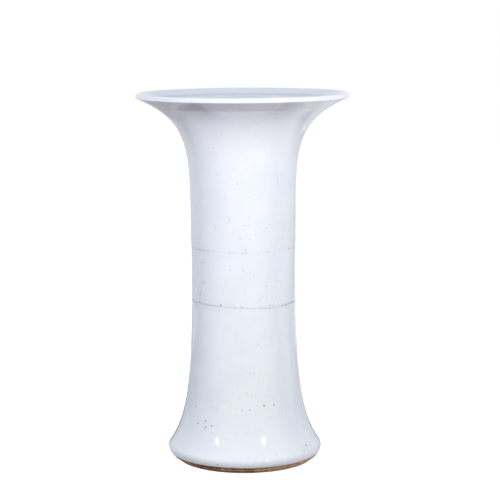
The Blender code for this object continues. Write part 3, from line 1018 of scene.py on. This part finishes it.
def lip_stained_glaze(finishes, spots, ring_shade_place, lip_shade_place):
    """The same glaze on the trumpet, with tan stains under the lip where iron bled out of the clay.

    Inside the mouth a ring of painted shade darkens it at the (radius, height) of ring_shade_place, and
    under the lip a band of painted shade darkens it round the (radius, height) of lip_shade_place.
    """
    patch_size = 2.4 * MM
    most = 0.55
    stain_core = 0.3
    ring_shade_reach = 6 * MM
    ring_shade_core = 0.2
    lip_shade_side = 8 * MM
    lip_shade_drop = 18 * MM
    lip_shade_near = 22.5 * MM
    lip_shade_far = 25.5 * MM
    lip_shade_middle = -20 * MM
    lip_shade_half = 100 * MM
    lip_shade_core = 0.65
    material, tree, shader, place = new_material("lip_stained_glaze")
    parts = split(tree, place)
    radius = vector_calc(tree, "LENGTH", from_axis(tree, place))
    on_profile = add(tree, "ShaderNodeCombineXYZ", {0: radius, 1: parts[2]}).outputs[0]
    # Painted shade: a ring inside the mouth
    gap = vector_calc(tree, "DISTANCE", on_profile, (*ring_shade_place, 0))
    ring_shaded = spread(tree, gap, ring_shade_reach, ring_shade_core * ring_shade_reach)
    white = blend(tree, ring_shaded, glaze_colour(tree, place, finishes), finishes.mouth_ring_shade)

    # Painted shade: a band under the lip, strongest near the middle from side to side
    under = (lip_shade_place[0] + lip_shade_side, lip_shade_place[1] - lip_shade_drop, 0)
    band = spread(tree, vector_calc(tree, "DISTANCE", on_profile, under), lip_shade_far, lip_shade_near)
    aside = calc(tree, "ABSOLUTE", calc(tree, "SUBTRACT", parts[0], lip_shade_middle))
    stretch = spread(tree, aside, lip_shade_half, lip_shade_core * lip_shade_half)
    white = blend(tree, calc(tree, "MULTIPLY", band, stretch), white, finishes.under_lip_shade)

    near = 0.0
    for point, reach in spots:
        gap = vector_calc(tree, "DISTANCE", place, point)
        near = calc(tree, "MAXIMUM", near, spread(tree, gap, reach, stain_core * reach))
    patches = spread(tree, grain(tree, place, patch_size), 0.42, 0.58, high=most)
    shown = blend(tree, calc(tree, "MULTIPLY", patches, near), white, finishes.fleck_tan)
    tree.links.new(shown, shader.inputs["Base Color"])
    glaze_surface(tree, place, shader, finishes)
    return material


def toe_wiped_glaze(finishes, sizes):
    """The same glaze on the bell, wiped off the toe by hand so that bare brown clay shows there."""
    ragged_size = 11 * MM
    ragged_height = 1.3 * MM
    feather = 0.2 * MM
    edge = BASE + sizes.toe_height
    material, tree, shader, place = new_material("toe_wiped_glaze")
    ragged = calc(tree, "SUBTRACT", grain(tree, place, ragged_size), 0.5)
    level = calc(tree, "MULTIPLY_ADD", ragged, ragged_height, split(tree, place)[2])
    bare = spread(tree, level, edge + feather, edge - feather)
    glaze = glaze_colour(tree, place, finishes)
    shown = blend(tree, bare, glaze, biscuit_colour(tree, place, finishes))
    tree.links.new(shown, shader.inputs["Base Color"])
    glaze_surface(tree, place, shader, finishes)
    slick = shader.inputs["Roughness"].links[0].from_socket
    rough = add(tree, "ShaderNodeMix", {0: bare, 2: slick, 3: finishes.clay_roughness}, data_type="FLOAT")
    tree.links.new(rough.outputs[0], shader.inputs["Roughness"])
    return material


def glazed_joint_slip(finishes):
    """Slip pressed into a seam under the same glaze: white where it filled, stained where it opened."""
    speckle_size = 1.6 * MM
    most_rust = 0.6
    material, tree, shader, place = new_material("glazed_joint_slip")
    shown = glaze_colour(tree, place, finishes)
    patchy = spread(tree, grain(tree, place, speckle_size), 0.3, 0.65, 0.35, 0.85, "LINEAR")
    for name, most, tint in (("rust", most_rust, finishes.stain_tan), ("stain", 1.0, finishes.stain_grey)):
        amount = add(tree, "ShaderNodeAttribute", attribute_name=name).outputs["Fac"]
        amount = calc(tree, "MULTIPLY", calc(tree, "MULTIPLY", amount, most), patchy)
        shown = blend(tree, amount, shown, tint)
    tree.links.new(shown, shader.inputs["Base Color"])
    glaze_surface(tree, place, shader, finishes)
    return material


def biscuit_colour(tree, place, finishes):
    """Colour of the bare clay: mottled along the turning, and darker in patches towards its left side."""
    dark_patch_size = 55 * MM
    darkening_reach = 160 * MM
    mottle_size = 6 * MM
    line_spacing = 1.8 * MM
    patches = grain(tree, place, dark_patch_size)
    # Darker towards the left side (-X), in patches
    leftward_dark = calc(tree, "MULTIPLY_ADD", split(tree, place)[0], -1 / darkening_reach, patches)
    lines = grain(tree, drawn_out(tree, place, mottle_size, line_spacing), 1.0, 3.0)
    pale = spread(tree, lines, 0.36, 0.62)
    brown = blend(tree, pale, finishes.clay_mid, finishes.clay_pale)
    burnt = blend(tree, pale, finishes.clay_dark, finishes.clay_mid)
    return blend(tree, spread(tree, leftward_dark, 0.36, 0.70), brown, burnt)


def brown_biscuit(finishes):
    """Bare clay, burnt brown in the kiln and worn on its edges: matt and gritty."""
    material, tree, shader, place = new_material("brown_biscuit")
    tree.links.new(biscuit_colour(tree, place, finishes), shader.inputs["Base Color"])
    bumps(tree, place, shader, size=0.9 * MM, height=0.15 * MM, detail=3.0, strength=0.8)
    shader.inputs["Roughness"].default_value = finishes.clay_roughness
    return material


def dark_foot_slip(finishes):
    """Slip squeezed out over the foot ring, burnt dark where the glaze stops: matt and rough."""
    found = bpy.data.materials.get("dark_foot_slip")
    if found:
        return found
    blotch_size = 7 * MM
    material, tree, shader, place = new_material("dark_foot_slip")
    shown = blend(tree, grain(tree, place, blotch_size, 3.0), finishes.clay_dark, finishes.clay_mid)
    tree.links.new(shown, shader.inputs["Base Color"])
    bumps(tree, place, shader, size=0.8 * MM, height=0.15 * MM, detail=2.0, strength=0.7)
    shader.inputs["Roughness"].default_value = finishes.clay_roughness
    return material


def blotched_speck(name, dark, pale, roughness):
    """Something small that came up through the glaze in the kiln: blotched, with glaze over it."""
    blotch_size = 0.7 * MM
    material, tree, shader, place = new_material(name)
    blotches = spread(tree, grain(tree, place, blotch_size, 1.0), 0.35, 0.8, kind="LINEAR")
    tree.links.new(blend(tree, blotches, dark, pale), shader.inputs["Base Color"])
    shader.inputs["Roughness"].default_value = roughness
    return material


def finish_bed(name, finishes):
    """Give a bed of slip that stays as it was packed its material."""
    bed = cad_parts[name]
    bed.data.materials.clear()
    bed.data.materials.append(dark_foot_slip(finishes))


class VASE_OT_trumpet(bpy.types.Operator):
    """Turn the trumpet: neck, flare and lip"""

    bl_idname = "vase.turn_trumpet"
    bl_label = "Turn Trumpet"

    def execute(self, context):
        scene = context.scene
        profile = trumpet_profile(scene.vase_sizes)
        spots = []
        for bearing, height, reach in LIP_STAINS:
            radius = wall_radius(profile, height * MM)
            spots.append((around(bearing, radius, height * MM), reach * MM))
        inside = profile[profile.index(min(profile)):]
        # Where the ring of painted shade inside the mouth lies
        ring_shade_place = next(point for point in inside if point[0] > RING_SHADE_RADIUS)
        # Middle of the band of painted shade under the lip
        lip_shade_place = (wall_radius(profile, LIP_SHADE_HEIGHT), LIP_SHADE_HEIGHT)
        glaze = lip_stained_glaze(scene.vase_finishes, spots, ring_shade_place, lip_shade_place)
        piece = turn("trumpet_glazed", profile, glaze, scene.vase_sizes)
        hand_over(piece, "white_glaze", "trumpet_section")
        return {"FINISHED"}


class VASE_OT_waist(bpy.types.Operator):
    """Turn the straight ring between the seams"""

    bl_idname = "vase.turn_waist"
    bl_label = "Turn Waist"

    def execute(self, context):
        scene = context.scene
        glaze = white_porcelain_glaze(scene.vase_finishes)
        piece = turn("waist_glazed", waist_profile(scene.vase_sizes), glaze, scene.vase_sizes)
        hand_over(piece, "white_glaze", "waist_section")
        return {"FINISHED"}


class VASE_OT_bell(bpy.types.Operator):
    """Turn the bell foot with its rounded shoulder"""

    bl_idname = "vase.turn_bell"
    bl_label = "Turn Bell"

    def execute(self, context):
        scene = context.scene
        glaze = toe_wiped_glaze(scene.vase_finishes, scene.vase_sizes)
        piece = turn("bell_glazed", bell_profile(scene.vase_sizes), glaze, scene.vase_sizes)
        hand_over(piece, "white_glaze", "foot_section")
        return {"FINISHED"}


class VASE_OT_floor(bpy.types.Operator):
    """Turn the floor disc and the coil in its corner, and finish the slip bed over the disc"""

    bl_idname = "vase.turn_floor"
    bl_label = "Turn Floor"

    def execute(self, context):
        scene = context.scene
        glaze = white_porcelain_glaze(scene.vase_finishes)
        disc = turn("floor_glazed", floor_profile(), glaze, scene.vase_sizes)
        hand_over(disc, "white_glaze", "floor_disc")
        coil = turn("corner_coil_glazed", coil_profile(), glaze, scene.vase_sizes)
        hand_over(coil, "white_glaze", "floor_corner_coil")
        finish_bed("floor_joint_slip", scene.vase_finishes)
        return {"FINISHED"}


class VASE_OT_foot_ring(bpy.types.Operator):
    """Turn the bare foot ring and finish the slip that holds it"""

    bl_idname = "vase.turn_foot_ring"
    bl_label = "Turn Foot Ring"

    def execute(self, context):
        scene = context.scene
        clay = brown_biscuit(scene.vase_finishes)
        ring = turn("foot_ring_biscuit", foot_ring_profile(scene.vase_sizes), clay, scene.vase_sizes)
        hand_over(ring, "bare_clay", "foot_ring")
        finish_bed("foot_ring_slip", scene.vase_finishes)
        return {"FINISHED"}


class VASE_OT_seams(bpy.types.Operator):
    """Press the slip into both seams"""

    bl_idname = "vase.press_seams"
    bl_label = "Press Seams"

    def execute(self, context):
        sizes = context.scene.vase_sizes
        slip = glazed_joint_slip(context.scene.vase_finishes)
        upper = luted_seam("upper_seam_slip", sizes.upper_seam, sizes.upper_swell, UPPER_MARKS, slip, sizes)
        hand_over(upper, "joint_slip", "upper_joint_slip")
        lower = luted_seam("lower_seam_slip", sizes.lower_seam, sizes.lower_swell, LOWER_MARKS, slip, sizes)
        hand_over(lower, "joint_slip", "lower_joint_slip")
        return {"FINISHED"}


class VASE_OT_specks(bpy.types.Operator):
    """Let iron specks burn through the glaze, and leave pinholes and a bead in it"""

    bl_idname = "vase.burn_specks"
    bl_label = "Burn Specks"

    def execute(self, context):
        look = context.scene.vase_finishes
        iron = blotched_speck("iron_in_glaze", look.iron, look.fleck_grey, look.iron_roughness)
        ash = blotched_speck("ash_in_pinholes", look.ash, look.glaze_cool, look.ash_roughness)
        faint = blotched_speck("ash_under_glaze", look.ash_faint, look.glaze_cool, look.faint_roughness)
        # The bead's shape is real; its whiter colour is a painted glint
        proud = blotched_speck("proud_glaze_bead", look.bead_glint_white, look.glaze, look.glaze_roughness)
        chance = random.Random(SPECK_SEED)
        bell = [(b, h * MM, w * MM, chance.uniform(*FRONT_STRETCH)) for b, h, w in FRONT_SPECKS]
        for _ in range(BACK_SPECKS):
            bearing = chance.uniform(*BACK_BEARINGS)
            height = chance.triangular(*BACK_HEIGHTS) * MM
            width = chance.triangular(*BACK_DIAMETERS) * MM
            bell.append((bearing, height, width, chance.uniform(*BACK_STRETCH)))
        waist, neck, waist_faint, neck_faint, beads = (
            [(b, h * MM, w * MM, drawn) for b, h, w, drawn in marks]
            for marks in (WAIST_PINHOLES, NECK_PINHOLES, WAIST_FAINT, NECK_FAINT, GLINT_BEADS)
        )
        for name, surface, seats, flatness, material in (
            ("bell_specks", "bell_glazed", bell, 0.22, iron),
            ("waist_pinholes", "waist_glazed", waist, 0.08, ash),
            ("neck_pinholes", "trumpet_glazed", neck, 0.08, ash),
            ("waist_faint_pinholes", "waist_glazed", waist_faint, 0.06, faint),
            ("neck_faint_pinholes", "trumpet_glazed", neck_faint, 0.06, faint),
            ("neck_beads", "trumpet_glazed", beads, 0.22, proud),
        ):
            piece = seated_specks(name, bpy.data.objects[surface], seats, flatness, material)
            hand_over(piece, "white_glaze")
        return {"FINISHED"}


def empty_tree(owner):
    """Node tree of a material or a world, cleared."""
    owner.use_nodes = True
    owner.node_tree.nodes.clear()
    return owner.node_tree


def light_path_mix(tree, shown, unseen, surface):
    """Show one shader to the camera and in gloss and glass, and light the vase with the other."""
    rays = add(tree, "ShaderNodeLightPath").outputs
    seen = rays["Is Camera Ray"]
    for ray in ("Is Glossy Ray", "Is Transmission Ray"):
        seen = calc(tree, "MAXIMUM", seen, rays[ray])
    mixed = add(tree, "ShaderNodeMixShader", {0: seen, 1: unseen, 2: shown})
    tree.links.new(mixed.outputs[0], surface)


def studio_world(stage):
    """White behind the vase, and a soft cool fill that is weakest from the front."""
    world = bpy.data.worlds.new("studio")
    bpy.context.scene.world = world
    tree = empty_tree(world)
    heading = add(tree, "ShaderNodeTexCoord").outputs["Generated"]
    strength = 0.0
    for source, lobe in ROOM_FILL:
        ahead = calc(tree, "MAXIMUM", vector_calc(tree, "DOT_PRODUCT", heading, source), 0.0)
        strength = calc(tree, "MULTIPLY_ADD", calc(tree, "MULTIPLY", ahead, ahead), lobe, strength)
    white = add(tree, "ShaderNodeBackground", {"Color": (1, 1, 1, 1), "Strength": 1.0})
    fill = add(tree, "ShaderNodeBackground", {"Color": (*stage.fill_colour, 1), "Strength": strength})
    output = add(tree, "ShaderNodeOutputWorld")
    light_path_mix(tree, white.outputs[0], fill.outputs[0], output.inputs["Surface"])


def floor_tint(tree, codes, front, back):
    """Glow of the floor, graded from its left side to its right and from the front to the vase."""
    front_end = -1.30
    back_end = -0.40
    parts = split(tree, add(tree, "ShaderNodeTexCoord").outputs["Object"])
    sideways = spread(tree, parts[0], -FLOOR_STRIP / 2, FLOOR_STRIP / 2, kind="LINEAR")
    strength = spread(tree, parts[1], front_end, back_end, front, back)
    grade = add(tree, "ShaderNodeValToRGB", {0: sideways})
    stops = grade.color_ramp.elements
    stops.new(0.5)
    for stop, code in zip(stops, codes):
        stop.color = (*linear(code), 1)
    return add(tree, "ShaderNodeEmission", {"Color": grade.outputs[0], "Strength": strength}).outputs[0]


def studio_floor(stage):
    """A broad white floor that keeps a faint shadow, and shows the whole of it in the gloss."""
    half = 6.0
    drop = 0.2 * MM
    gloss_shade = (0.7, 0.7, 0.7, 1)
    mesh = bpy.data.meshes.new("studio_floor")
    corners = [(-half, -half, -drop), (half, -half, -drop), (half, half, -drop), (-half, half, -drop)]
    mesh.from_pydata(corners, [], [(0, 1, 2, 3)])
    floor = new_piece("studio_floor", mesh)
    material = bpy.data.materials.new("white_sweep")
    tree = empty_tree(material)
    glow = add(tree, "ShaderNodeEmission", {"Color": (1, 1, 1, 1), "Strength": stage.floor_glow})
    shade = add(tree, "ShaderNodeBsdfDiffuse", {"Color": (*stage.floor_shade, 1)})
    seen = add(tree, "ShaderNodeAddShader", {0: glow.outputs[0], 1: shade.outputs[0]})
    full_shade = add(tree, "ShaderNodeBsdfDiffuse", {"Color": gloss_shade})
    soft_glow = floor_tint(tree, FLOOR_GLOSS, 1.0, 1.0)
    in_gloss = add(tree, "ShaderNodeAddShader", {0: soft_glow, 1: full_shade.outputs[0]})
    camera = add(tree, "ShaderNodeLightPath").outputs["Is Camera Ray"]
    shown = add(tree, "ShaderNodeMixShader", {0: camera, 1: in_gloss.outputs[0], 2: seen.outputs[0]})
    bounce = floor_tint(tree, FLOOR_BOUNCE, FRONT_BOUNCE, BACK_BOUNCE)
    output = add(tree, "ShaderNodeOutputMaterial")
    light_path_mix(tree, shown.outputs[0], bounce, output.inputs["Surface"])
    mesh.materials.append(material)


def gloss_board(name, points, faces, tints):
    """A board round the set that shows only in the gloss of the vase, tinted point by point."""
    mesh = bpy.data.meshes.new(name)
    mesh.from_pydata(points, [], faces)
    shares = [part for tint in tints for part in (*tint, 1)]
    mesh.attributes.new("tint", "FLOAT_COLOR", "POINT").data.foreach_set("color", shares)
    board = new_piece(name, mesh)
    material = bpy.data.materials.new(name)
    tree = empty_tree(material)
    tint = add(tree, "ShaderNodeAttribute", attribute_name="tint").outputs["Color"]
    glow = add(tree, "ShaderNodeEmission", {"Color": tint, "Strength": 1.0})
    add(tree, "ShaderNodeOutputMaterial", {"Surface": glow.outputs[0]})
    mesh.materials.append(material)
    for sight in ("visible_camera", "visible_diffuse", "visible_transmission", "visible_shadow"):
        setattr(board, sight, False)


def back_screen():
    """A low curved screen behind the vase that is white at its ends and greyer in the middle."""
    radius = 2.2
    rows = ((MM, SCREEN_LIFT / 3), (0.24, SCREEN_LIFT))
    white = Vector((1, 1, 1))
    steps = 8
    points = []
    tints = []
    for (start, near), (end, far) in zip(SCREEN_TINTS, SCREEN_TINTS[1:]):
        near, far = Vector(linear(near)), Vector(linear(far))
        for step in range(1 if points else 0, steps + 1):
            bearing = start + (end - start) * step / steps
            for height, lift in rows:
                points.append(around(bearing, radius, height))
                tints.append(near.lerp(far, step / steps).lerp(white, lift))
    faces = [(low, low + 2, low + 3, low + 1) for low in range(0, len(points) - 2, 2)]
    gloss_board("back_screen", points, faces, tints)


def floor_card(name, left, right, near, far, tint, soft):
    """A card on the floor that shows only in the gloss, with an edge that fades out."""
    points = []
    for inset in (soft, 0):
        points += [
            (left + inset, near + inset, MM), (right - inset, near + inset, MM),
            (right - inset, far - inset, MM), (left + inset, far - inset, MM),
        ]
    faces = [(0, 1, 2, 3)]
    faces += [(4 + side, 4 + (side + 1) % 4, (side + 1) % 4, side) for side in range(4)]
    gloss_board(name, points, faces, [linear(tint)] * 4 + [linear(CARD_EDGE)] * 4)


def facing_vase(bearing, height, distance):
    """Matrix that puts a thing at a place round the vase, with its front to the middle of the vase."""
    place = around(bearing, distance, height)
    target = Vector((0, 0, TOP / 2))
    return Matrix.Translation(place) @ (target - place).to_track_quat("-Z", "Y").to_matrix().to_4x4()


def soft_box(name, bearing, height, distance, width, tall, strip, lean):
    """Front of a lamp that shows only in the gloss: a bright panel, and a dim strip under it."""
    strip_share = 0.22
    strip_shine = 0.06
    end_shine = 0.02
    half = width / 2
    low = -tall / 2
    narrow = strip_share * half
    flat = [
        (-half, low), (half, low), (half, -low), (-half, -low),
        (-narrow, low), (narrow, low), (lean + narrow, low - strip), (lean - narrow, low - strip),
    ]
    shines = [1] * 4 + [strip_shine] * 2 + [end_shine] * 2
    place = facing_vase(bearing, height, distance)
    points = [place @ Vector((x, y, 0)) for x, y in flat]
    tints = [Vector((1, 1, 1)) * BOX_SHINE * shine for shine in shines]
    gloss_board(name, points, [(3, 2, 1, 0), (4, 5, 6, 7)], tints)


def dim_ceiling(stage):
    """A round ceiling over the set that darkens the gloss in the mouth."""
    height = 2.6
    radius = 1.26
    steps = 48
    turns = [math.tau * step / steps for step in range(steps)]
    points = [(radius * math.cos(a), radius * math.sin(a), height) for a in turns]
    gloss_board("dim_ceiling", points, [tuple(reversed(range(steps)))], [stage.ceiling] * steps)


def lamp(name, bearing, height, distance, width, tall, power, tint):
    """A soft rectangular lamp that faces the middle of the vase and doesn't show in the gloss."""
    data = bpy.data.lights.new(name, "AREA")
    data.shape = "RECTANGLE"
    data.size = width
    data.size_y = tall
    data.energy = power
    data.color = tint
    light = new_piece(name, data)
    light.visible_glossy = False
    light.matrix_world = facing_vase(bearing, height, distance)


def photo_camera():
    """The camera of the photograph, as the scene's camera."""
    data = bpy.data.cameras.new("photo_camera")
    data.sensor_width = CAMERA_SENSOR
    data.lens = CAMERA_LENS
    camera = new_piece("photo_camera", data)
    tilt = Matrix.Rotation(CAMERA_TILT, 4, "X")
    roll = Matrix.Rotation(CAMERA_ROLL, 4, "Z")
    camera.matrix_world = Matrix.Translation(CAMERA_PLACE) @ tilt @ roll
    bpy.context.scene.camera = camera


class VASE_OT_stage(bpy.types.Operator):
    """Set up the camera, the lamps and the white sweep"""

    bl_idname = "vase.set_stage"
    bl_label = "Set Stage"

    def execute(self, context):
        stage = context.scene.vase_stage
        photo_camera()
        left, right = LAMPS
        lamp(*left, stage.left_power, stage.left_colour)
        lamp(*right, stage.right_power, stage.right_colour)
        studio_world(stage)
        studio_floor(stage)
        back_screen()
        for card in FLOOR_CARDS:
            floor_card(*card)
        for box in SOFT_BOXES:
            soft_box(*box)
        dim_ceiling(stage)
        context.scene.view_settings.view_transform = "Standard"
        return {"FINISHED"}


class VASE_PT_panel(bpy.types.Panel):
    """Sizes, finishes and stage of the vase, with a button for each group of pieces"""

    bl_label = "Bouquet Vase"
    bl_idname = "VASE_PT_panel"
    bl_space_type = "VIEW_3D"
    bl_region_type = "UI"
    bl_category = "Vase"

    def draw(self, context):
        for operator in OPERATORS:
            self.layout.operator(operator.bl_idname)
        for group in (context.scene.vase_sizes, context.scene.vase_finishes, context.scene.vase_stage):
            box = self.layout.box()
            for name in group.__annotations__:
                box.prop(group, name)


OPERATORS = (
    VASE_OT_trumpet,
    VASE_OT_waist,
    VASE_OT_bell,
    VASE_OT_floor,
    VASE_OT_foot_ring,
    VASE_OT_seams,
    VASE_OT_specks,
    VASE_OT_stage,
)
CLASSES = (VaseSizes, VaseFinishes, VaseStage, *OPERATORS, VASE_PT_panel)


def register():
    """Register the classes and give the scene its settings."""
    for item in CLASSES:
        bpy.utils.register_class(item)
    bpy.types.Scene.vase_sizes = PointerProperty(type=VaseSizes)
    bpy.types.Scene.vase_finishes = PointerProperty(type=VaseFinishes)
    bpy.types.Scene.vase_stage = PointerProperty(type=VaseStage)


def unregister():
    """Take the settings and the classes away again."""
    del bpy.types.Scene.vase_stage
    del bpy.types.Scene.vase_finishes
    del bpy.types.Scene.vase_sizes
    for item in reversed(CLASSES):
        bpy.utils.unregister_class(item)


def main():
    """Make every piece and the stage in order."""
    register()
    bpy.ops.vase.turn_trumpet()
    bpy.ops.vase.turn_waist()
    bpy.ops.vase.turn_bell()
    bpy.ops.vase.turn_floor()
    bpy.ops.vase.turn_foot_ring()
    bpy.ops.vase.press_seams()
    bpy.ops.vase.burn_specks()
    bpy.ops.vase.set_stage()


if __name__ == "__main__":
    main()
